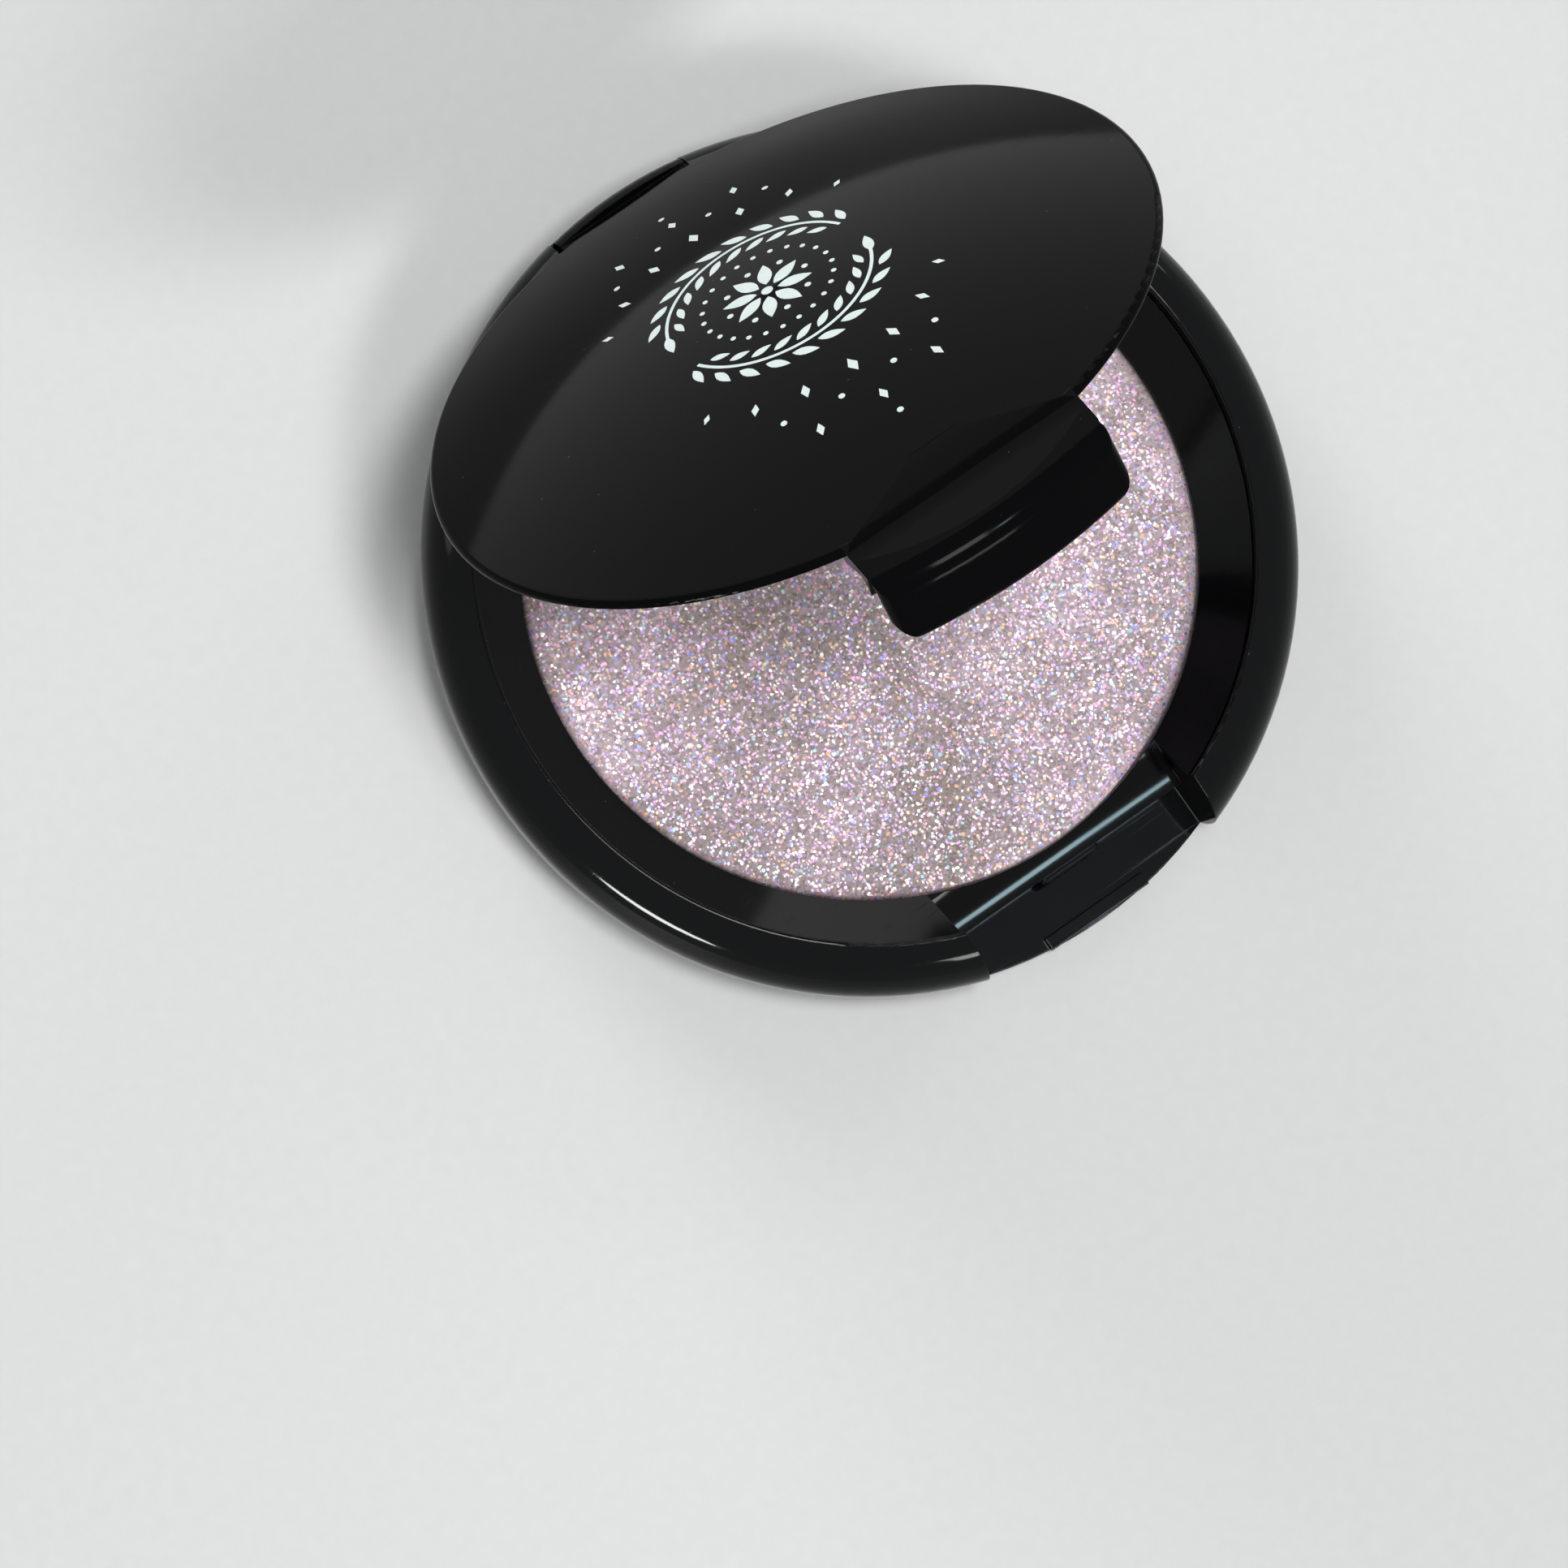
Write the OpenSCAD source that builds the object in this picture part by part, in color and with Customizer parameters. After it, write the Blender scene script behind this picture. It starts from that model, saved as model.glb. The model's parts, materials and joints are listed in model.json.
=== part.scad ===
// Round pressed-powder compact with a hinged domed lid, standing open.
// Millimetres. Origin at the centre of the underside, +Z up, hinge towards +Y, thumb tab towards -Y.
// Lid pieces are modelled closed and then swung open about the hinge.

/* [Base] */
// Outer radius of the base at its widest
base_r = 31.8; // [31.5:0.05:32]
// Height of the base at the inner edge of its rim
rim_z = 9.35; // [9.2:0.05:9.6]
// Inner radius of the rim
rim_r = 28.25; // [28:0.05:28.5]
// Downward slope of the top of the rim, in degrees
rim_slope = 14; // [10:1:18]
// Radius of the rounded shoulder outside the rim
shoulder_r = 3.2; // [2.8:0.1:3.4]
// Radius of the gentle bulge of the side below the shoulder
side_r = 17; // [15:0.5:20]
// Radius of the bottom edge
foot_r = 0.9; // [0.6:0.1:1.2]
// Radius of the inner edge of the rim
rim_round = 0.25; // [0.15:0.05:0.4]
// Thickness of the floor
floor_t = 1.4; // [1.2:0.1:1.5]

/* [Ring] */
// Radius of the round opening in which the powder shows
opening_r = 24.76; // [24.7:0.02:24.8]
// Height of the edge of that opening
opening_z = 5; // [4.9:0.05:5.1]
// Height of the ring where it meets the rim wall
ring_z = 7.65; // [7.4:0.05:7.9]
// Thickness of the skirt on which the ring stands
skirt_t = 1.1; // [0.9:0.1:1.2]

/* [Pan and powder] */
// Outer radius of the metal pan
pan_r = 25.1; // [25:0.05:25.15]
// Wall and floor thickness of the metal pan
pan_t = 0.4; // [0.3:0.05:0.45]
// Radius of the edge of the powder cake
cake_edge = 0.35; // [0.2:0.05:0.5]

/* [Front notch] */
// Width of the notch for the thumb tab
notch_w = 20.16; // [20.1:0.02:20.3]
// Distance of the flat front wall from the centre
front_wall_y = 26.42; // [26.3:0.02:26.5]
// Height of the flat front wall
front_wall_z = 4.3; // [4.2:0.05:4.4]
// Length of the catch bead
bead_len = 5; // [4:0.5:6]

/* [Hinge] */
// Distance of the hinge axis behind the centre
hinge_y = 28.14; // [28.1:0.02:28.2]
// Height of the hinge axis
hinge_z = 6.8; // [6.7:0.05:6.85]
// Radius of the lid knuckle
knuckle_r = 3.5; // [3.4:0.02:3.54]
// Width of the lid knuckle
knuckle_w = 11; // [10.6:0.2:11.2]
// Diameter of the hinge pin
pin_d = 1.5; // [1.4:0.05:1.6]
// Angle at which the lid stands open
open_angle = 54.24; // [0:0.01:88]

/* [Lid] */
// Radius of the lid disc
lid_r = 27.9; // [27.8:0.02:27.94]
// Radius of the sphere of the lid dome
dome_r = 89.4; // [88:0.2:91]
// Height of the top of the closed lid
lid_top = 14.38; // [14.3:0.02:14.46]
// Thickness of the lid shell
lid_t = 1.3; // [1.1:0.05:1.4]
// Radius of the mirror
mirror_r = 22; // [21:0.1:22.1]
// Thickness of the mirror glass
mirror_t = 1.1; // [1:0.05:1.15]

/* [Thumb tab] */
// Width of the tab
tab_w = 19.64; // [19.2:0.02:19.7]
// Radius of the front of the tab about the centre of the compact
tab_front = 31.65; // [31.4:0.05:31.8]
// Height of the lower edge of the tab above the table
tab_low = 3.05; // [2.9:0.05:3.1]
// Thickness of the front of the tab
tab_t = 2; // [1.8:0.1:2.2]
// Radius of the lower corners of the tab, seen from the front
tab_corner = 2; // [1.5:0.1:2.5]

/* [Hidden] */
$fn = 96;
far = 80;
slop = 0.02;

// Side of the base: sloping rim, rounded shoulder, gently bulged side, rounded foot
shoulder_x = base_r - shoulder_r;
shoulder_z = rim_z + (rim_r - shoulder_x) * tan(rim_slope) - shoulder_r / cos(rim_slope);
side_x = base_r - side_r;
foot_x = side_x + sqrt(pow(side_r - foot_r, 2) - pow(shoulder_z - foot_r, 2));
foot_join = shoulder_z - side_r * (shoulder_z - foot_r) / (side_r - foot_r);
rim_x = rim_r + rim_round;
rim_mid_z = rim_z - rim_round * tan(rim_slope) - rim_round / cos(rim_slope);

// Ring and pan
ring_r = rim_r - 0.05;
deck_t = 1.2;
lip_z = 4.25;
lip_r = 25.5;
rib_r = pan_r + 0.1;
rib_t = 0.7;
rib_h = 1.6;
rib_gap_y = 21;
pan_z = floor_t + 0.2;
pan_top = lip_z - 0.05;
glue_r = 16;
cake_r = pan_r - pan_t - 0.02;
cake_z = opening_z;

// Catch on the front wall, and the lug on the ledge below it
wall_t = 1.1;
band_r = 7;
bead_r = 0.5;
bead_z = front_wall_z - 0.45;
lug_w = 8.6;
lug_d = 1;
lug_h = 0.6;
lug_y = 30.5;

// Hinge
barrel_r = 2.2;
barrel_steps = 5;
running_gap = 0.03;
slot_w = knuckle_w + 0.5;
slot_front = 25.66;
slot_low = 4.6;
pocket_r = knuckle_r + 0.3;
ear_w = 8.1;
ear_z = 9;
pin_len = 19.6;
pin_x = -9.4;
bore_blind = 0.3;

// Lid
lid_low = rim_z;
lid_edge_r = 0.55;
dome_z = lid_top - dome_r;
edge_x = lid_r - lid_edge_r;
edge_z = dome_z + sqrt(pow(dome_r - lid_edge_r, 2) - pow(edge_x, 2));
edge_join = edge_x * dome_r / (dome_r - lid_edge_r);
cavity_r = 25.4;
liner_r = cavity_r - 0.08;
liner_low = 6.95;
liner_low_r = 23.9;
liner_side_z = 8.2;
liner_round = 0.35;
lean_run = liner_r - liner_low_r;
lean_rise = liner_side_z - liner_low - liner_round;
lean = acos(liner_round / norm([lean_run, lean_rise])) - atan2(lean_rise, lean_run);
liner_top = 9.3;
plate_z = 8.5;
tape_t = 0.1;
tape_r = 20;

// Thumb tab: a round nose below a sloping top
nose_r = 2.3;
nose_y = tab_front - nose_r;
nose_z = 6.55;
nose_top = [nose_y + nose_r * sin(27), nose_z + nose_r * cos(27)];
arm_z = lid_low - 1;
arm_root = lid_r - 0.8;
arm_join = lid_r - 0.4;
tab_mid_r = tab_front - tab_t / 2;
tab_mid_x = tab_w / 2 - tab_t / 2;
tab_mid_y = sqrt(pow(tab_mid_r, 2) - pow(tab_mid_x, 2));
lip_round = 0.6;
rib_tip = front_wall_y + bead_r + 0.06;

// Hollow where the tab leaves the dome: roll-off, valley and ridge
ridge_slope = 12;
valley_slope = 35;
valley_r = 3.5;
roll_r = 10;
valley_end = [27.6, 9.27];
valley_mid = valley_end + valley_r * [sin(ridge_slope), cos(ridge_slope)];
valley_start = valley_mid - valley_r * [sin(valley_slope), cos(valley_slope)];
roll_mid = valley_start - roll_r * [sin(valley_slope), cos(valley_slope)];
roll_y = roll_mid[0] * dome_r / (dome_r - roll_r);

// Turn a flat outline, drawn as distance from the centre against height, towards the front or the rear
module front_slice(width) { rotate([90, 0, -90]) linear_extrude(width, center = true) children(); }
module rear_slice(width) { rotate([90, 0, 90]) linear_extrude(width, center = true) children(); }

// Swings a closed lid piece to where the lid stands
module lid_pose() {
    translate([0, hinge_y, hinge_z]) rotate([-open_angle, 0, 0])
        translate([0, -hinge_y, -hinge_z]) children();
}

// Outer outline of the base from the axis outwards
module base_outline() {
    square([foot_x, shoulder_z]);
    translate([foot_x, foot_r]) circle(foot_r);
    intersection() {
        translate([side_x, shoulder_z]) circle(side_r, $fn = 360);
        translate([0, foot_join]) square([far, shoulder_z - foot_join]);
    }
    intersection() {
        translate([shoulder_x, shoulder_z]) circle(shoulder_r);
        translate([shoulder_x - 1, shoulder_z]) square(far);
    }
    polygon([
        [0, shoulder_z - 1], [shoulder_x, shoulder_z - 1], [shoulder_x, shoulder_z],
        [shoulder_x + shoulder_r * sin(rim_slope), shoulder_z + shoulder_r * cos(rim_slope)],
        [rim_r, rim_z], [0, rim_z]]);
}

// What rounding takes off the inner edge of the rim
module rim_corner() {
    difference() {
        polygon([
            [rim_r - 1, rim_mid_z], [rim_x, rim_mid_z],
            [rim_x + rim_round * sin(rim_slope), rim_mid_z + rim_round * cos(rim_slope)],
            [rim_x + rim_round * sin(rim_slope), rim_z + 1], [rim_r - 1, rim_z + 1]]);
        translate([rim_x, rim_mid_z]) circle(rim_round);
    }
}

// The moulded tub: side wall, floor and the rib round the pan
module tub() {
    rotate_extrude() difference() {
        base_outline();
        translate([0, floor_t]) square([rim_r, far]);
        rim_corner();
    }
    difference() {
        translate([0, 0, floor_t - slop]) cylinder(h = rib_h, r = rib_r + rib_t);
        cylinder(h = far, r = rib_r);
        translate([-far / 2, -far - rib_gap_y, 0]) cube(far);
    }
}

// Blocks beside the knuckle that thicken the wall round the pin
module hinge_ears() {
    intersection() {
        translate([-ear_w, slot_front, floor_t - slop]) cube([2 * ear_w, far, ear_z - floor_t]);
        cylinder(h = far, r = base_r - 2.5);
    }
}

// Room for the knuckle to turn, open above and behind
module knuckle_slot() {
    intersection() {
        translate([0, hinge_y, hinge_z]) rotate([0, 90, 0]) cylinder(h = slot_w, r = pocket_r, center = true);
        translate([-far / 2, slot_front, 0]) cube(far);
    }
    translate([-slot_w / 2, slot_front, hinge_z]) cube([slot_w, far, far]);
    translate([-slot_w / 2, hinge_y, slot_low]) cube([slot_w, far, far]);
}

// Bore for the pin, blind at the left end and open through the right side of the rim
module pin_bore() {
    translate([pin_x - bore_blind, hinge_y, hinge_z]) rotate([0, 90, 0]) cylinder(h = far, d = pin_d);
}

// Low lug at the front of the ledge
module ledge_lug() {
    translate([0, -lug_y, floor_t - slop]) linear_extrude(lug_h) square([lug_w, lug_d], center = true);
}

module base_shell() {
    color("#0b0b0d") {
        difference() {
            union() {
                tub();
                hinge_ears();
            }
            translate([-notch_w / 2, -far - 20, floor_t]) cube([notch_w, far, far]);
            knuckle_slot();
            pin_bore();
        }
        ledge_lug();
    }
}

// The dished ring: a cone down to the powder on a skirt, cut away behind the tab and at the knuckle
module base_ring() {
    color("#101013") {
        difference() {
            rotate_extrude() polygon([
                [opening_r, opening_z], [ring_r, ring_z], [ring_r, floor_t], [ring_r - skirt_t, floor_t],
                [ring_r - skirt_t, ring_z - deck_t - 0.7], [lip_r, lip_z], [opening_r, lip_z]]);
            translate([-notch_w / 2, -far - 20, 0]) cube([notch_w, far, far]);
            translate([-ear_w - 0.05, slot_front - 0.05, 0]) cube([2 * ear_w + 0.1, far, far]);
        }
        intersection() {
            union() {
                front_band();
                front_wall();
            }
            cylinder(h = far, r = ring_r);
        }
        catch_bead();
    }
}

// Lower stretch of the ring behind the tab, hollowed towards the flat front wall
module front_band() {
    difference() {
        front_slice(notch_w + 0.2) difference() {
            polygon([[20, lip_z], [front_wall_y, lip_z], [front_wall_y, front_wall_z],
                     [opening_r + 0.2, opening_z - 0.05], [20, opening_z - 0.05]]);
            translate([front_wall_y - 0.35, front_wall_z + band_r]) circle(band_r);
        }
        cylinder(h = far, r = opening_r);
    }
}

// Flat wall behind the tab
module front_wall() {
    translate([-notch_w / 2 - 0.8, -front_wall_y, floor_t])
        cube([notch_w + 1.6, wall_t, lip_z - floor_t + slop]);
}

// Bead on the front wall, over which the lid snaps: a bar with rounded ends
module catch_bead() {
    bar = bead_len / 2 - bead_r;
    intersection() {
        translate([0, -front_wall_y, bead_z]) rotate([0, 90, 0]) rotate_extrude() intersection() {
            union() {
                square([2 * bead_r, 2 * bar], center = true);
                for (side = [-1, 1]) translate([0, side * bar]) circle(bead_r);
            }
            translate([0, -far / 2]) square(far);
        }
        translate([-far / 2, -far - front_wall_y + 0.1, 0]) cube([far, far, front_wall_z - 0.04]);
    }
}

// Shallow stamped pan
module pan() {
    color("#b9bbbd") translate([0, 0, pan_z]) difference() {
        cylinder(h = pan_top - pan_z, r = pan_r);
        translate([0, 0, pan_t]) cylinder(h = far, r = pan_r - pan_t);
    }
}

// Disc of glue under the pan
module pan_adhesive() {
    color("#d8d2bd") translate([0, 0, floor_t]) cylinder(h = pan_z - floor_t, r = glue_r);
}

// Pressed shimmer powder with a rounded edge
module powder_fill() {
    color("#d9cfd8") rotate_extrude() {
        translate([0, pan_z + pan_t]) square([cake_r, cake_z - cake_edge - pan_z - pan_t]);
        translate([0, pan_z + pan_t]) square([cake_r - cake_edge, cake_z - pan_z - pan_t]);
        translate([cake_r - cake_edge, cake_z - cake_edge]) circle(cake_edge);
    }
}

// Steel pin pushed in from the right
module hinge_pin() {
    color("#9a9da1") translate([pin_x, hinge_y, hinge_z]) rotate([0, 90, 0]) cylinder(h = pin_len, d = pin_d);
}

// Half outline of the domed disc with its rounded edge
module dome_outline() {
    intersection() {
        union() {
            intersection() {
                translate([0, dome_z]) circle(dome_r, $fn = 720);
                square([edge_join, far]);
            }
            translate([edge_x, edge_z]) circle(lid_edge_r);
        }
        translate([0, lid_low]) square(far);
    }
}

// Section of the front of the tab: round nose, upright front and rounded lower edge
module tab_outline() {
    difference() {
        union() {
            translate([nose_y, nose_z]) circle(nose_r);
            translate([nose_y, tab_low + lip_round]) square([nose_r, nose_z - tab_low - lip_round]);
            translate([nose_y, tab_low]) square([nose_r - lip_round, 1]);
            translate([tab_front - lip_round, tab_low + lip_round]) circle(lip_round);
        }
        square([tab_front - tab_t, far]);
    }
}

// Section of the arm that carries the tab from the edge of the lid
module arm_outline() {
    polygon([
        [nose_y, nose_z], nose_top, [arm_join, nose_top[1] + (nose_top[0] - arm_join) * tan(27)],
        [arm_root, lid_low + 0.4], [arm_root, arm_z], [nose_y, arm_z]]);
}

// Rib inside the tab that catches under the bead
module snap_rib() {
    front_slice(bead_len + 1) polygon([
        [rib_tip, tab_low], [tab_front - tab_t + 0.15, tab_low],
        [tab_front - tab_t + 0.15, tab_low + 1.7], [rib_tip, tab_low + 0.3]]);
}

// Front view of the tab with rounded lower corners
module tab_face() {
    rotate([90, 0, 0]) linear_extrude(far) {
        translate([-tab_w / 2, tab_low + tab_corner]) square([tab_w, far]);
        translate([-tab_w / 2 + tab_corner, tab_low]) square([tab_w - 2 * tab_corner, far]);
        for (side = [-1, 1]) translate([side * (tab_w / 2 - tab_corner), tab_low + tab_corner]) circle(tab_corner);
    }
}

// Plan of the tab: a sector of the rim with half-round ends
module tab_plan() {
    polygon([[0, 0], [-2 * tab_mid_x, -2 * tab_mid_y], [2 * tab_mid_x, -2 * tab_mid_y]]);
    for (side = [-1, 1]) translate([side * tab_mid_x, -tab_mid_y]) circle(tab_t / 2);
}

// Thumb tab, swept round the front of the lid, and the arm above it
module thumb_tab() {
    intersection() {
        rotate_extrude() tab_outline();
        linear_extrude(far) tab_plan();
        tab_face();
    }
    intersection() {
        rotate_extrude() arm_outline();
        linear_extrude(far) {
            tab_plan();
            translate([-tab_w / 2, -tab_mid_y]) square([tab_w, tab_mid_y - 20]);
        }
    }
    snap_rib();
}

// Hollow across the root of the tab
module tab_hollow() {
    front_slice(24) {
        difference() {
            polygon([
                [roll_y, lid_top], [far / 2, lid_top], [far / 2, valley_end[1] - (far / 2 - valley_end[0]) * tan(ridge_slope)],
                valley_end, valley_start, [roll_y, valley_start[1]]]);
            translate(roll_mid) circle(roll_r, $fn = 360);
        }
        translate(valley_mid) circle(valley_r);
    }
}

// Knuckle: a barrel round the pin, a bowed hump behind it and a web forward to the lid
module knuckle() {
    translate([0, hinge_y, hinge_z]) rotate([0, 90, 0]) cylinder(h = knuckle_w, r = barrel_r, center = true);
    intersection() {
        translate([0, hinge_y, hinge_z]) rotate([0, 90, 0]) rotate_extrude() polygon(concat(
            [[0, -knuckle_w / 2]],
            [for (i = [-barrel_steps:barrel_steps]) let (x = i * knuckle_w / 2 / barrel_steps)
                [sqrt(pow(hinge_y + knuckle_r, 2) - x * x) - hinge_y, x]],
            [[0, knuckle_w / 2]]));
        rear_slice(knuckle_w) polygon([
            [hinge_y, hinge_z], [hinge_y + 9, hinge_z - 2], [hinge_y + 9, hinge_z + 9], [hinge_y - 0.1, hinge_z + 9]]);
    }
    rear_slice(knuckle_w) polygon([
        [slot_front + 0.1, hinge_z + 0.8], [hinge_y, hinge_z + 0.8], [hinge_y + 0.3, lid_low + 0.4],
        [slot_front + 0.1, lid_low + 0.4]]);
}

module lid_shell() {
    color("#151518") lid_pose() difference() {
        union() {
            rotate_extrude() dome_outline();
            thumb_tab();
            knuckle();
        }
        intersection() {
            translate([0, 0, dome_z]) sphere(dome_r - lid_t, $fn = 360);
            translate([0, 0, lid_low - 1]) cylinder(h = far, r = cavity_r);
        }
        tab_hollow();
        translate([0, hinge_y, hinge_z]) rotate([0, 90, 0])
            cylinder(h = 2 * knuckle_w, d = pin_d + 2 * running_gap, center = true);
    }
}

// Inner frame of the lid: plate with a rounded rim round the mirror
module lid_liner() {
    color("#101013") lid_pose() rotate_extrude() {
        translate([0, plate_z]) square([liner_r, liner_top - plate_z]);
        polygon([
            [mirror_r + 0.1, plate_z + 0.1], [mirror_r + 0.1, liner_low + liner_round],
            [mirror_r + 0.1 + liner_round, liner_low], [liner_low_r, liner_low],
            [liner_low_r + liner_round * cos(lean), liner_low + liner_round - liner_round * sin(lean)],
            [liner_r, liner_side_z], [liner_r, plate_z + 0.1]]);
        translate([mirror_r + 0.1 + liner_round, liner_low + liner_round]) circle(liner_round);
        translate([liner_low_r, liner_low + liner_round]) circle(liner_round);
    }
}

module mirror_glass() {
    color("#c8d0d4") lid_pose() translate([0, 0, plate_z - tape_t - mirror_t]) cylinder(h = mirror_t, r = mirror_r);
}

module mirror_tape() {
    color("#e8e6df") lid_pose() translate([0, 0, plate_z - tape_t]) cylinder(h = tape_t, r = tape_r);
}

base_shell();
base_ring();
pan();
pan_adhesive();
powder_fill();
hinge_pin();
lid_shell();
lid_liner();
mirror_glass();
mirror_tape();
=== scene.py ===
"""Looks of a round eyeshadow compact that stands open.

Black gloss mouldings, a cake of shimmer powder and a printed lid, in a pale studio.
"""

import json
import math

import bpy
from mathutils import Matrix, Vector, noise

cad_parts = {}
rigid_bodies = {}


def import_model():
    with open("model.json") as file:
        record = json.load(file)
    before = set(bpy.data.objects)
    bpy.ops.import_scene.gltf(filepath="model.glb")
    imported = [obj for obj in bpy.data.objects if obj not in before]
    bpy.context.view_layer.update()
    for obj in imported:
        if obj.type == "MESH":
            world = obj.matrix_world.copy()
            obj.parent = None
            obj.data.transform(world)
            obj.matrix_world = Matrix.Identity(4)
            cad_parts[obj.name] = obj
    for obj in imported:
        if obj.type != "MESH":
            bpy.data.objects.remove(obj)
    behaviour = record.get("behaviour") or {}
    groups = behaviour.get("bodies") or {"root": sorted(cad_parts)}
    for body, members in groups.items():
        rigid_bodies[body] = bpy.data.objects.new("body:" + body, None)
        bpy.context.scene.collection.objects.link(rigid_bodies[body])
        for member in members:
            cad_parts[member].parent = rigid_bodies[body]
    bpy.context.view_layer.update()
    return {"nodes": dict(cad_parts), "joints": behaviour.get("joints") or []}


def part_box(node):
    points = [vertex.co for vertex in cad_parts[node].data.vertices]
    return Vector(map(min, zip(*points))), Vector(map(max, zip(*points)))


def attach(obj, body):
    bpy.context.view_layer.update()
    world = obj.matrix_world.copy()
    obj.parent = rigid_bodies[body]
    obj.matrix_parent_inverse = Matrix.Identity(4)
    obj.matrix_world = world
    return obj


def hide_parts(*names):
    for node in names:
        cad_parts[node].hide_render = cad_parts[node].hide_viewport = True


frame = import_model()


# Camera: a long lens on a stand, a metre above the compact and a little to its left.
# It looks almost straight down and is rolled, so the hinge points to the upper left.
camera_data = bpy.data.cameras.new("camera")
camera_data.sensor_width = 36
camera_data.lens = 311.594
camera = bpy.data.objects.new("camera", camera_data)
camera.location = (-0.185049, -0.044021, 0.963559)
camera.rotation_euler = (0.130245, -0.124546, -0.616712)
bpy.context.scene.collection.objects.link(camera)
bpy.context.scene.camera = camera
bpy.context.scene.view_settings.view_transform = "Standard"


# Studio: a pale paper floor that runs into a plain backdrop, and soft lamps round the compact.
# Key and overhead lamps light it, and low strips draw thin lines of light along rounded edges.
# Lamps that only serve the gloss of the black plastic are kept off everything dull, and the fill off gloss.
def deselect():
    """Clears the selection, because each operator acts on everything that is selected."""
    if bpy.context.object and bpy.context.object.mode != "OBJECT":
        bpy.ops.object.mode_set(mode="OBJECT")
    bpy.ops.object.select_all(action="DESELECT")


def new_material(name):
    """A material with an empty tree, its output and one Principled shader."""
    material = bpy.data.materials.new(name)
    material.use_nodes = True
    nodes = material.node_tree.nodes
    nodes.clear()
    output = nodes.new("ShaderNodeOutputMaterial")
    shader = nodes.new("ShaderNodeBsdfPrincipled")
    material.node_tree.links.new(shader.outputs["BSDF"], output.inputs["Surface"])
    return material, nodes, material.node_tree.links, shader


def lamp(name, azimuth, elevation, distance, width, height, radiance, colour=(1, 1, 1)):
    """A soft rectangular lamp that looks at the compact."""
    data = bpy.data.lights.new(name, "AREA")
    data.shape = "RECTANGLE"
    data.size = width
    data.size_y = height
    data.energy = radiance * math.pi * width * height
    data.color = colour
    body = bpy.data.objects.new(name, data)
    a, e = math.radians(azimuth), math.radians(elevation)
    away = Vector((math.cos(e) * math.cos(a), math.cos(e) * math.sin(a), math.sin(e)))
    body.location = Vector((0, 0, 0.02)) + distance * away
    body.rotation_euler = away.to_track_quat("Z", "Y").to_euler()
    bpy.context.scene.collection.objects.link(body)
    return body


backdrop_grey = (0.70, 0.70, 0.70, 1)


def seen_directly(nodes, links):
    """One where the camera looks, straight or by way of metal, gloss or glass."""
    path = nodes.new("ShaderNodeLightPath")
    total = path.outputs["Is Camera Ray"]
    for kind in ("Is Glossy Ray", "Is Transmission Ray"):
        step = nodes.new("ShaderNodeMath")
        step.operation = "MAXIMUM"
        links.new(total, step.inputs[0])
        links.new(path.outputs[kind], step.inputs[1])
        total = step.outputs["Value"]
    return total


deselect()
bpy.ops.mesh.primitive_plane_add(size=6)
floor = bpy.context.object
floor.name = "floor"
floor_material, nodes, links, shader = new_material("floor_paper")
coordinates = nodes.new("ShaderNodeTexCoord")
grain = nodes.new("ShaderNodeTexNoise")
grain.inputs["Scale"].default_value = 900
tone = nodes.new("ShaderNodeMapRange")
tone.inputs["To Min"].default_value = 0.68
tone.inputs["To Max"].default_value = 0.72
links.new(coordinates.outputs["Object"], grain.inputs["Vector"])
links.new(grain.outputs["Fac"], tone.inputs["Value"])
links.new(tone.outputs["Result"], shader.inputs["Base Color"])
shader.inputs["Roughness"].default_value = 0.5
shader.inputs["Specular IOR Level"].default_value = 0.2
away = nodes.new("ShaderNodeVectorMath")
away.operation = "LENGTH"
links.new(coordinates.outputs["Object"], away.inputs[0])
fade = nodes.new("ShaderNodeMapRange")
fade.interpolation_type = "SMOOTHSTEP"
fade.inputs["From Min"].default_value = 0.18
fade.inputs["From Max"].default_value = 0.70
links.new(away.outputs["Value"], fade.inputs["Value"])
seen = seen_directly(nodes, links)
share = nodes.new("ShaderNodeMath")
share.operation = "MULTIPLY"
links.new(fade.outputs["Result"], share.inputs[0])
links.new(seen, share.inputs[1])
backdrop = nodes.new("ShaderNodeEmission")
backdrop.inputs["Color"].default_value = backdrop_grey
mix = nodes.new("ShaderNodeMixShader")
links.new(share.outputs["Value"], mix.inputs["Fac"])
links.new(shader.outputs["BSDF"], mix.inputs[1])
links.new(backdrop.outputs["Emission"], mix.inputs[2])
links.new(mix.outputs["Shader"], nodes["Material Output"].inputs["Surface"])
floor.data.materials.append(floor_material)

lamp("key", -88, 40, 1.2, 0.46, 0.20, 22.0)
lamp("overhead", -90, 85, 1.1, 0.25, 0.25, 30.0)
left = lamp("strip_left", -153, 21, 0.9, 0.32, 0.11, 60.0)
left.data.shape = "ELLIPSE"
left.visible_diffuse = False
lamp("strip_right", 20, 21, 0.9, 0.30, 0.05, 10.0)
cool = lamp("cool_strip", -32.5, 77, 1.0, 0.08, 0.07, 60.0, (0.62, 0.9, 1.0))
cool.visible_diffuse = False
back = lamp("back_fill", 90, 22, 1.0, 0.40, 0.30, 8.5)
back.visible_glossy = False
rear = lamp("rear_panel", 90, 0, 0.06, 0.18, 0.108, 1.5)
rear.data.shape = "ELLIPSE"
rear.visible_diffuse = False
rear.location = (0.0215, 0.060, 0.0541)
rear.rotation_euler = (math.radians(-90), 0, 0)

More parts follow.
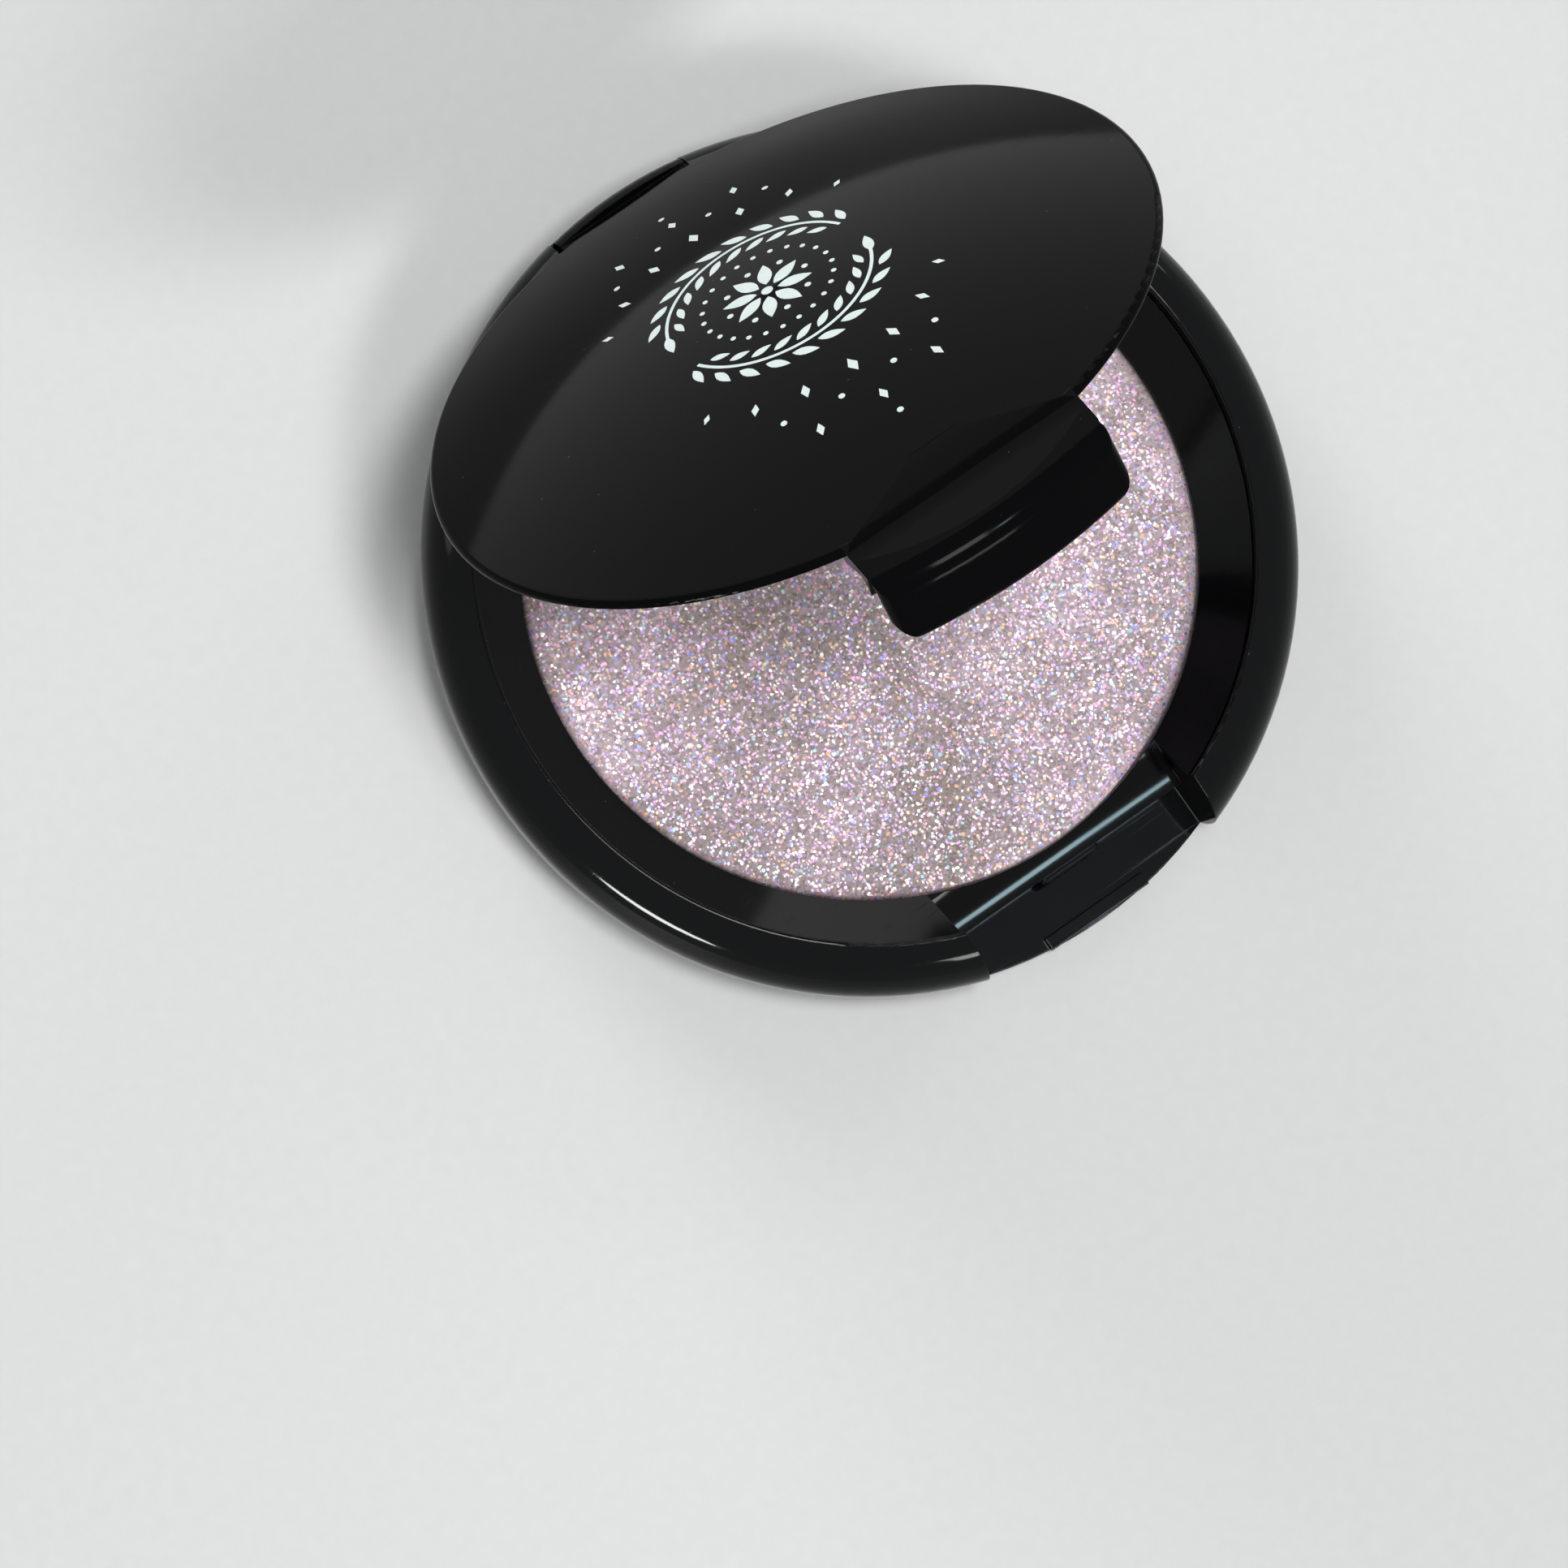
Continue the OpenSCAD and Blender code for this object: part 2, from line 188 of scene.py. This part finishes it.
world = bpy.data.worlds.new("studio")
bpy.context.scene.world = world
world.use_nodes = True
nodes, links = world.node_tree.nodes, world.node_tree.links
nodes.clear()
sky = nodes.new("ShaderNodeBackground")
sky.inputs["Color"].default_value = (0.95, 0.98, 1.0, 1)
sky.inputs["Strength"].default_value = 0.16
pale = nodes.new("ShaderNodeBackground")
pale.inputs["Color"].default_value = backdrop_grey
mix = nodes.new("ShaderNodeMixShader")
output = nodes.new("ShaderNodeOutputWorld")
links.new(seen_directly(nodes, links), mix.inputs["Fac"])
links.new(sky.outputs["Background"], mix.inputs[1])
links.new(pale.outputs["Background"], mix.inputs[2])
links.new(mix.outputs["Shader"], output.inputs["Surface"])


# Black mouldings: base, ring, lid and the frame in the lid.
# Injection-moulded gloss plastic: faint ripple, hair scratches and a few specks of dust.
def moulding_group():
    """Colour, roughness and height of gloss plastic, for every black moulding."""
    tree = bpy.data.node_groups.new("gloss_moulding", "ShaderNodeTree")
    for name, kind, value in (("Tint", "NodeSocketColor", (0.01, 0.01, 0.011, 1)),
                              ("Polish", "NodeSocketFloat", 0.08),
                              ("Scratches", "NodeSocketFloat", 0.3),
                              ("Dust", "NodeSocketFloat", 0.3)):
        socket = tree.interface.new_socket(name, in_out="INPUT", socket_type=kind)
        socket.default_value = value
    for name, kind in (("Color", "NodeSocketColor"), ("Roughness", "NodeSocketFloat"),
                       ("Height", "NodeSocketFloat")):
        tree.interface.new_socket(name, in_out="OUTPUT", socket_type=kind)
    nodes, links = tree.nodes, tree.links
    inner = nodes.new("NodeGroupInput")
    outer = nodes.new("NodeGroupOutput")
    where = nodes.new("ShaderNodeTexCoord")

    ripple = nodes.new("ShaderNodeTexNoise")
    ripple.inputs["Scale"].default_value = 110
    ripple.inputs["Detail"].default_value = 3
    links.new(where.outputs["Object"], ripple.inputs["Vector"])

    turn = nodes.new("ShaderNodeMapping")
    turn.inputs["Rotation"].default_value = (0.3, 0.5, 0.9)
    turn.inputs["Scale"].default_value = (60, 4200, 900)
    links.new(where.outputs["Object"], turn.inputs["Vector"])
    hair = nodes.new("ShaderNodeTexNoise")
    hair.inputs["Scale"].default_value = 1
    hair.inputs["Detail"].default_value = 2
    links.new(turn.outputs["Vector"], hair.inputs["Vector"])
    thin = nodes.new("ShaderNodeMapRange")
    thin.inputs["From Min"].default_value = 0.66
    thin.inputs["From Max"].default_value = 0.74
    links.new(hair.outputs["Fac"], thin.inputs["Value"])
    marks = nodes.new("ShaderNodeMath")
    marks.operation = "MULTIPLY"
    links.new(thin.outputs["Result"], marks.inputs[0])
    links.new(inner.outputs["Scratches"], marks.inputs[1])

    specks = nodes.new("ShaderNodeTexVoronoi")
    specks.inputs["Scale"].default_value = 420
    links.new(where.outputs["Object"], specks.inputs["Vector"])
    near = nodes.new("ShaderNodeMapRange")
    near.inputs["From Min"].default_value = 0.035
    near.inputs["From Max"].default_value = 0.02
    links.new(specks.outputs["Distance"], near.inputs["Value"])
    dust = nodes.new("ShaderNodeMath")
    dust.operation = "MULTIPLY"
    links.new(near.outputs["Result"], dust.inputs[0])
    links.new(inner.outputs["Dust"], dust.inputs[1])

    colour = nodes.new("ShaderNodeMix")
    colour.data_type = "RGBA"
    colour.inputs["B"].default_value = (0.16, 0.16, 0.165, 1)
    links.new(dust.outputs["Value"], colour.inputs["Factor"])
    links.new(inner.outputs["Tint"], colour.inputs["A"])
    links.new(colour.outputs["Result"], outer.inputs["Color"])

    soft = nodes.new("ShaderNodeMath")
    soft.operation = "MULTIPLY_ADD"
    soft.inputs[1].default_value = 0.05
    links.new(ripple.outputs["Fac"], soft.inputs[0])
    links.new(inner.outputs["Polish"], soft.inputs[2])
    rough = nodes.new("ShaderNodeMath")
    rough.operation = "MULTIPLY_ADD"
    rough.inputs[1].default_value = 0.25
    links.new(marks.outputs["Value"], rough.inputs[0])
    links.new(soft.outputs["Value"], rough.inputs[2])
    links.new(rough.outputs["Value"], outer.inputs["Roughness"])

    height = nodes.new("ShaderNodeMath")
    height.operation = "MULTIPLY_ADD"
    height.inputs[1].default_value = -0.3
    links.new(marks.outputs["Value"], height.inputs[0])
    links.new(ripple.outputs["Fac"], height.inputs[2])
    links.new(height.outputs["Value"], outer.inputs["Height"])
    return tree


gloss_moulding = moulding_group()


def black_plastic(name, tint, polish, scratches, dust, edge_mm, gloss):
    """One black moulding's finish: the shared gloss effect, with corners rounded by edge_mm."""
    material, nodes, links, shader = new_material(name)
    effect = nodes.new("ShaderNodeGroup")
    effect.node_tree = gloss_moulding
    effect.inputs["Tint"].default_value = (*tint, 1)
    effect.inputs["Polish"].default_value = polish
    effect.inputs["Scratches"].default_value = scratches
    effect.inputs["Dust"].default_value = dust
    corner = nodes.new("ShaderNodeBevel")
    corner.samples = 6
    corner.inputs["Radius"].default_value = edge_mm / 1000
    relief = nodes.new("ShaderNodeBump")
    relief.inputs["Strength"].default_value = 0.25
    relief.inputs["Distance"].default_value = 0.00002
    links.new(corner.outputs["Normal"], relief.inputs["Normal"])
    links.new(effect.outputs["Height"], relief.inputs["Height"])
    links.new(effect.outputs["Color"], shader.inputs["Base Color"])
    links.new(effect.outputs["Roughness"], shader.inputs["Roughness"])
    links.new(relief.outputs["Normal"], shader.inputs["Normal"])
    shader.inputs["Specular IOR Level"].default_value = gloss
    return material


def dress(node, material):
    """Gives a node of the frame its finish."""
    mesh = frame["nodes"][node].data
    mesh.materials.clear()
    mesh.materials.append(material)


dress("base_shell", black_plastic("base_gloss", (0.002, 0.0024, 0.0028), 0.05, 0.4, 0.2, 0.14, 0.14))
dress("base_ring", black_plastic("ring_gloss", (0.0025, 0.0025, 0.003), 0.06, 0.4, 0.2, 0.04, 0.10))
dress("lid_shell", black_plastic("lid_gloss", (0.0025, 0.0025, 0.003), 0.07, 0.5, 0.35, 0.12, 0.025))
dress("lid_liner", black_plastic("liner_gloss", (0.012, 0.012, 0.013), 0.18, 0.4, 0.3, 0.12, 0.3))


# Print on the lid: pale ink, two sprays of leaves round a small flower, with lozenges and dots beyond.
# Pad-printed on the finished moulding, so it is a film that lies on the dome.
dome_r = 0.0894
dome_top = 0.01438
ink_film = 0.000015
sunk_in = 0.000003
hinge = next(j for j in frame["joints"] if j["name"] == "lid_hinge")
hinge_at = Vector(hinge["pos_m"])
open_angle = math.radians(-hinge["range_deg"][0])
swing = Matrix.Translation(hinge_at) @ Matrix.Rotation(-open_angle, 4, "X") @ Matrix.Translation(-hinge_at)
material, nodes, links, shader = new_material("pale_ink")
where = nodes.new("ShaderNodeTexCoord")
wear = nodes.new("ShaderNodeTexNoise")
wear.inputs["Scale"].default_value = 1500
wear.inputs["Detail"].default_value = 4
tone = nodes.new("ShaderNodeMix")
tone.data_type = "RGBA"
tone.inputs["A"].default_value = (0.66, 0.77, 0.75, 1)
tone.inputs["B"].default_value = (0.84, 0.95, 0.93, 1)
links.new(where.outputs["Object"], wear.inputs["Vector"])
links.new(wear.outputs["Fac"], tone.inputs["Factor"])
links.new(tone.outputs["Result"], shader.inputs["Base Color"])
shader.inputs["Roughness"].default_value = 0.42
ink_finish = material


def motif(corners, length, width, pointed):
    """One flat shape of ink, lengthwise along X: a dot, a lozenge, or a leaf that comes to a point."""
    bpy.ops.mesh.primitive_circle_add(vertices=corners, radius=1, fill_type="NGON")
    shape = bpy.context.object
    for vertex in shape.data.vertices:
        if pointed:
            vertex.co.y *= math.sqrt(max(0, 1 - vertex.co.x ** 2)) * (1 - 0.25 * vertex.co.x)
    shape.data.transform(Matrix.Diagonal((length / 2, width / 2, 1, 1)))
    return shape


def stamp(shape, radius, around, turn=0.0, size=1.0):
    """A copy of a motif at a distance and an angle from the middle of the lid."""
    copy = shape.copy()
    copy.data = shape.data.copy()
    place = Matrix.Rotation(math.radians(around), 4, "Z") @ Matrix.Translation((radius, 0, 0))
    copy.data.transform(place @ Matrix.Rotation(math.radians(turn), 4, "Z") @ Matrix.Scale(size, 4))
    bpy.context.scene.collection.objects.link(copy)
    return copy


def line(radius, width, start, sweep):
    """A thin line of ink along an arc, cut from a full circle."""
    bpy.ops.mesh.primitive_circle_add(vertices=180, radius=radius - width / 2, fill_type="NOTHING")
    arc = bpy.context.object
    grow = (radius + width / 2) / (radius - width / 2)
    bpy.ops.object.mode_set(mode="EDIT")
    bpy.ops.mesh.select_all(action="SELECT")
    bpy.ops.mesh.extrude_region_move()
    bpy.ops.transform.resize(value=(grow, grow, 1))
    bpy.ops.mesh.select_all(action="DESELECT")
    bpy.ops.object.mode_set(mode="OBJECT")
    for vertex in arc.data.vertices:
        around = math.degrees(math.atan2(vertex.co.y, vertex.co.x))
        vertex.select = (around - start) % 360 > sweep + 0.01
    bpy.ops.object.mode_set(mode="EDIT")
    bpy.ops.mesh.delete(type="VERT")
    bpy.ops.object.mode_set(mode="OBJECT")
    return arc


def printed(name, shapes):
    """Joins flat shapes, lays them on the dome as a film and swings them to where the lid stands."""
    deselect()
    for shape in shapes:
        shape.select_set(True)
    bpy.context.view_layer.objects.active = shapes[0]
    if len(shapes) > 1:
        bpy.ops.object.join()
    ink = bpy.context.object
    ink.name = name
    bpy.ops.object.mode_set(mode="EDIT")
    bpy.ops.mesh.select_all(action="SELECT")
    bpy.ops.mesh.normals_make_consistent(inside=False)
    bpy.ops.mesh.extrude_region_move(TRANSFORM_OT_translate={"value": (0, 0, ink_film)})
    bpy.ops.mesh.select_all(action="SELECT")
    bpy.ops.mesh.normals_make_consistent(inside=False)
    bpy.ops.object.mode_set(mode="OBJECT")
    for vertex in ink.data.vertices:
        x, y, z = vertex.co
        vertex.co.z = z + dome_top - dome_r + math.sqrt(dome_r ** 2 - x * x - y * y) - sunk_in
    ink.data.transform(swing)
    ink.data.materials.clear()
    ink.data.materials.append(ink_finish)
    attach(ink, "lid")
    for shape in [o for o in bpy.context.scene.objects if o.name.startswith("Circle")]:
        bpy.data.objects.remove(shape)
    return ink


petal = motif(20, 0.0026, 0.0011, True)
flower = [stamp(petal, 0.0021, 22.5 + 45 * i) for i in range(8)]
seed = motif(12, 0.0005, 0.0005, False)
flower += [stamp(seed, 0.0032, 45 * i) for i in range(8)]
flower.append(stamp(motif(16, 0.0009, 0.0009, False), 0, 0))
printed("print_flower", flower)

leaf = motif(16, 0.0021, 0.0008, True)
spray = [line(0.0078, 0.00026, side + 18, 144) for side in (0, 180)]
for side in (0, 180):
    for i in range(10):
        around = side + 24 + 14 * i
        spray.append(stamp(leaf, 0.0088, around, 62, 1 - 0.03 * abs(i - 4.5)))
        spray.append(stamp(leaf, 0.0068, around + 5, 118, 0.86 - 0.03 * abs(i - 4.5)))
    spray.append(stamp(leaf, 0.0078, side + 167, 90))
berry = motif(12, 0.00042, 0.00042, False)
spray += [stamp(berry, 0.0050, 15 * i) for i in range(24)]
printed("print_sprays", spray)

lozenge = motif(4, 0.0016, 0.0008, False)
dot = motif(12, 0.0005, 0.0005, False)
fan = []
for side in (90, 270):
    for i in range(-3, 4):
        fan.append(stamp(lozenge, 0.0128, side + 17 * i, 0, 1.0 - 0.13 * abs(i)))
    fan += [stamp(dot, 0.0150, side + 17 * (i + 0.5)) for i in range(-2, 2)]
    fan += [stamp(lozenge, 0.0170, side + 17 * i, 0, 0.8) for i in (-1, 0, 1)]
    fan.append(stamp(dot, 0.0192, side))
printed("print_fans", fan)


# Pan and its glue: a shallow tin stamped from sheet, stuck down in the base on a disc of melt glue.
# Both lie under the powder, so little more than the tin's edge is ever seen, in the thin gap beside the
# cake.
# That tin is coloured nearly black as painted shade for the gap, in place of the silvery colour of bare tin.
def plain_finish(name, colour_a, colour_b, scale, rough_a, rough_b, metallic=0.0, stretch=(1, 1, 1)):
    """A finish whose colour and roughness drift between two values."""
    material, nodes, links, shader = new_material(name)
    where = nodes.new("ShaderNodeTexCoord")
    turn = nodes.new("ShaderNodeMapping")
    turn.inputs["Scale"].default_value = stretch
    drift = nodes.new("ShaderNodeTexNoise")
    drift.inputs["Scale"].default_value = scale
    drift.inputs["Detail"].default_value = 5
    links.new(where.outputs["Object"], turn.inputs["Vector"])
    links.new(turn.outputs["Vector"], drift.inputs["Vector"])
    tone = nodes.new("ShaderNodeMix")
    tone.data_type = "RGBA"
    tone.inputs["A"].default_value = (*colour_a, 1)
    tone.inputs["B"].default_value = (*colour_b, 1)
    links.new(drift.outputs["Fac"], tone.inputs["Factor"])
    links.new(tone.outputs["Result"], shader.inputs["Base Color"])
    rough = nodes.new("ShaderNodeMapRange")
    rough.inputs["To Min"].default_value = rough_a
    rough.inputs["To Max"].default_value = rough_b
    links.new(drift.outputs["Fac"], rough.inputs["Value"])
    links.new(rough.outputs["Result"], shader.inputs["Roughness"])
    shader.inputs["Metallic"].default_value = metallic
    return material


# Painted shade: the tin gets a near-black colour so that its edge in the gap beside the cake stays dark.
dress("pan", plain_finish("tin_dark_as_painted_shade", (0.06, 0.055, 0.058), (0.10, 0.095, 0.10), 300, 0.45, 0.6, 1.0))
dress("pan_adhesive", plain_finish("melt_glue", (0.62, 0.55, 0.4), (0.75, 0.7, 0.56), 400, 0.3, 0.55))


# Hinge pin: a cut length of drawn steel wire, pushed in from the right through base and knuckle.
# Only its end shows, in the hole at the side; its grain runs along the wire.
along_wire = (0.1, 6, 6)
dress("hinge_pin", plain_finish("drawn_wire", (0.5, 0.5, 0.5), (0.65, 0.65, 0.66),
                                600, 0.2, 0.35, 1.0, along_wire))


# Mirror: a round of silvered glass, held in the lid by a disc of white double-sided tape.
# Tape and glass go into the frame in the lid last, after the hinge is joined.
dress("mirror_tape", plain_finish("white_tape", (0.75, 0.74, 0.7), (0.85, 0.84, 0.8), 500, 0.6, 0.8))
dress("mirror_glass", plain_finish("silvered_glass", (0.80, 0.83, 0.83), (0.86, 0.88, 0.88),
                                   60, 0.02, 0.05, 1.0))


# Powder cake: shimmer powder pressed into the pan, slightly uneven on top and rounded off at its edge.
# Talc and mica bound with oil, full of flakes of white, pink, violet, blue and orange that flash as they
# tilt.
# Each flake's colour is also painted glint: it is set near full brightness, so the flake looks lit from any
# side.
cake_low, cake_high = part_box("powder_fill")
cake_r = cake_high.x - 0.00002
cake_edge = 0.0013
cake_shoulder = cake_high.z - 0.0006
deselect()
bpy.ops.mesh.primitive_circle_add(vertices=288, radius=cake_r, fill_type="NGON", location=(0, 0, cake_low.z))
cake = bpy.context.object
cake.name = "powder_cake"
bpy.ops.object.mode_set(mode="EDIT")
bpy.ops.mesh.select_all(action="SELECT")
bpy.ops.mesh.extrude_region_move(TRANSFORM_OT_translate={"value": (0, 0, cake_shoulder - cake_low.z)})
edge_rings = [cake_edge / 8] * 8
face_rings = [0.00025] * 90
for step in edge_rings + face_rings:
    bpy.ops.mesh.inset(thickness=step)
bpy.ops.mesh.poke()
bpy.ops.mesh.select_all(action="SELECT")
bpy.ops.mesh.normals_make_consistent(inside=False)
bpy.ops.object.mode_set(mode="OBJECT")
bpy.ops.object.transform_apply(location=True, rotation=True, scale=True)
for vertex in cake.data.vertices:
    x, y, z = vertex.co
    if z < cake_low.z + 0.0001:
        continue
    r = math.hypot(x, y)
    inward = min(1, (cake_r - r) / cake_edge)
    rim = cake_shoulder + 0.00055 * math.sqrt(max(0, 1 - (1 - inward) ** 2))
    broad = noise.noise(Vector((x, y, 0)) * 140)
    swirl = noise.noise(Vector((r * 900, math.atan2(y, x) * 1.2, 3)))
    grit = noise.noise(Vector((x, y, 0.01)) * 800)
    vertex.co.z = rim + inward * (0.00005 * broad + 0.000025 * swirl + 0.000012 * grit)
deselect()
cake.select_set(True)
bpy.context.view_layer.objects.active = cake
bpy.ops.object.shade_smooth_by_angle(angle=math.radians(50))

ragged_by = 0.00035
flake_metal = 0.8
flake_lean = 0.3
material, nodes, links, shader = new_material("shimmer_powder")
where = nodes.new("ShaderNodeTexCoord")
ragged = nodes.new("ShaderNodeTexNoise")
ragged.inputs["Scale"].default_value = 2300
ragged.inputs["Detail"].default_value = 2
links.new(where.outputs["Object"], ragged.inputs["Vector"])
shaken = nodes.new("ShaderNodeVectorMath")
shaken.operation = "MULTIPLY_ADD"
shaken.inputs[1].default_value = (ragged_by, ragged_by, 0)
links.new(ragged.outputs["Color"], shaken.inputs[0])
links.new(where.outputs["Object"], shaken.inputs[2])


def flakes(scale, seed):
    """Flat cells of one size, each with a random colour that stands for its own tilt and tint."""
    shift = nodes.new("ShaderNodeMapping")
    shift.inputs["Location"].default_value = (seed, seed * 0.7, 0)
    shift.inputs["Scale"].default_value = (1, 1, 0.05)
    cells = nodes.new("ShaderNodeTexVoronoi")
    cells.inputs["Scale"].default_value = scale
    links.new(shaken.outputs["Vector"], shift.inputs["Vector"])
    links.new(shift.outputs["Vector"], cells.inputs["Vector"])
    parts = nodes.new("ShaderNodeSeparateColor")
    links.new(cells.outputs["Color"], parts.inputs["Color"])
    return cells, parts


def ramp(source, stops, mode="LINEAR"):
    """A colour ramp over a value, from a list of place and colour."""
    node = nodes.new("ShaderNodeValToRGB")
    node.color_ramp.interpolation = mode
    while len(node.color_ramp.elements) < len(stops):
        node.color_ramp.elements.new(0.5)
    for element, (place, colour) in zip(node.color_ramp.elements, stops):
        element.position = place
        element.color = (*colour, 1)
    links.new(source, node.inputs["Fac"])
    return node


def math_node(operation, *values):
    """One arithmetic step on sockets or numbers."""
    node = nodes.new("ShaderNodeMath")
    node.operation = operation
    for place, value in enumerate(values):
        if isinstance(value, (int, float)):
            node.inputs[place].default_value = value
        else:
            links.new(value, node.inputs[place])
    return node.outputs["Value"]


def blend(factor, a, b, kind="MIX"):
    """A colour mix of two sockets."""
    node = nodes.new("ShaderNodeMix")
    node.data_type = "RGBA"
    node.blend_type = kind
    for socket, value in (("Factor", factor), ("A", a), ("B", b)):
        if isinstance(value, (int, float, tuple)):
            node.inputs[socket].default_value = value
        else:
            links.new(value, node.inputs[socket])
    return node.outputs["Result"]


def noise_at(scale, detail):
    """Soft noise on the cake."""
    node = nodes.new("ShaderNodeTexNoise")
    node.inputs["Scale"].default_value = scale
    node.inputs["Detail"].default_value = detail
    links.new(where.outputs["Object"], node.inputs["Vector"])
    return node.outputs["Fac"]


cloud = noise_at(110, 4)
streak = noise_at(420, 3)
body = ramp(cloud, [
    (0.35, (0.32, 0.26, 0.24)), (0.5, (0.40, 0.32, 0.33)), (0.65, (0.53, 0.42, 0.455))]).outputs["Color"]
grain, grain_parts = flakes(4600, 0.3)
fleck = ramp(grain_parts.outputs["Red"], [
    (0.0, (0.62, 0.60, 0.58)), (0.12, (0.76, 0.74, 0.75)), (0.3, (0.90, 0.88, 0.88)),
    (0.6, (1.0, 1.0, 1.0)), (0.84, (1.25, 1.2, 1.3))], "CONSTANT")
surface = blend(1, body, fleck.outputs["Color"], "MULTIPLY")
metal = 0
tilts = 0
flake_sizes = ((4100, 0.5, 0.45, 0.52, 0.6), (2800, 0.9, 0.42, 0.42, 1.0), (2150, 1.7, 0.70, 0.34, 1.0))
for scale, seed, share, reach, level in flake_sizes:
    cells, parts = flakes(scale, seed)
    # Painted glint: each flake's colour is its own tint, set bright enough to stand for its sparkle as well.
    flake_colour_and_glint = ramp(parts.outputs["Green"], [
        (0.0, (1.0, 0.93, 0.98)), (0.30, (1.0, 0.42, 0.70)), (0.50, (0.66, 0.42, 1.0)),
        (0.68, (0.32, 0.38, 1.0)), (0.77, (1.0, 0.52, 0.30)), (0.87, (1.0, 0.80, 0.50)),
        (0.94, (0.45, 0.85, 0.98))], "CONSTANT").outputs["Color"]
    drift = math_node("ADD", math_node("MULTIPLY", math_node("SUBTRACT", 0.5, streak), 0.9),
                      math_node("MULTIPLY", math_node("SUBTRACT", 0.5, cloud), 0.6))
    chosen = math_node("GREATER_THAN", parts.outputs["Red"], math_node("ADD", share, drift))
    halo = nodes.new("ShaderNodeMapRange")
    halo.inputs["From Min"].default_value = reach
    halo.inputs["From Max"].default_value = reach * 0.5
    links.new(cells.outputs["Distance"], halo.inputs["Value"])
    here = math_node("MULTIPLY", math_node("MULTIPLY", chosen, halo.outputs["Result"]), level)
    surface = blend(here, surface, flake_colour_and_glint)
    metal = math_node("MAXIMUM", metal, here)
    tilts = cells.outputs["Color"] if tilts == 0 else blend(here, tilts, cells.outputs["Color"])
links.new(surface, shader.inputs["Base Color"])
links.new(math_node("MULTIPLY", metal, flake_metal), shader.inputs["Metallic"])
glint = nodes.new("ShaderNodeMapRange")
glint.inputs["To Min"].default_value = 0.62
glint.inputs["To Max"].default_value = 0.30
links.new(metal, glint.inputs["Value"])
links.new(glint.outputs["Result"], shader.inputs["Roughness"])
tilt = nodes.new("ShaderNodeVectorMath")
tilt.operation = "SUBTRACT"
tilt.inputs[1].default_value = (0.5, 0.5, 0.5)
links.new(tilts, tilt.inputs[0])
lean = nodes.new("ShaderNodeVectorMath")
lean.operation = "SCALE"
links.new(tilt.outputs["Vector"], lean.inputs[0])
links.new(math_node("MULTIPLY", metal, flake_lean), lean.inputs["Scale"])
relief = nodes.new("ShaderNodeBump")
relief.inputs["Strength"].default_value = 0.6
relief.inputs["Distance"].default_value = 0.00004
links.new(math_node("ADD", grain_parts.outputs["Blue"], streak), relief.inputs["Height"])
add = nodes.new("ShaderNodeVectorMath")
add.operation = "ADD"
links.new(relief.outputs["Normal"], add.inputs[0])
links.new(lean.outputs["Vector"], add.inputs[1])
unit = nodes.new("ShaderNodeVectorMath")
unit.operation = "NORMALIZE"
links.new(add.outputs["Vector"], unit.inputs[0])
links.new(unit.outputs["Vector"], shader.inputs["Normal"])
cake.data.materials.clear()
cake.data.materials.append(material)
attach(cake, "base")
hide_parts("powder_fill")
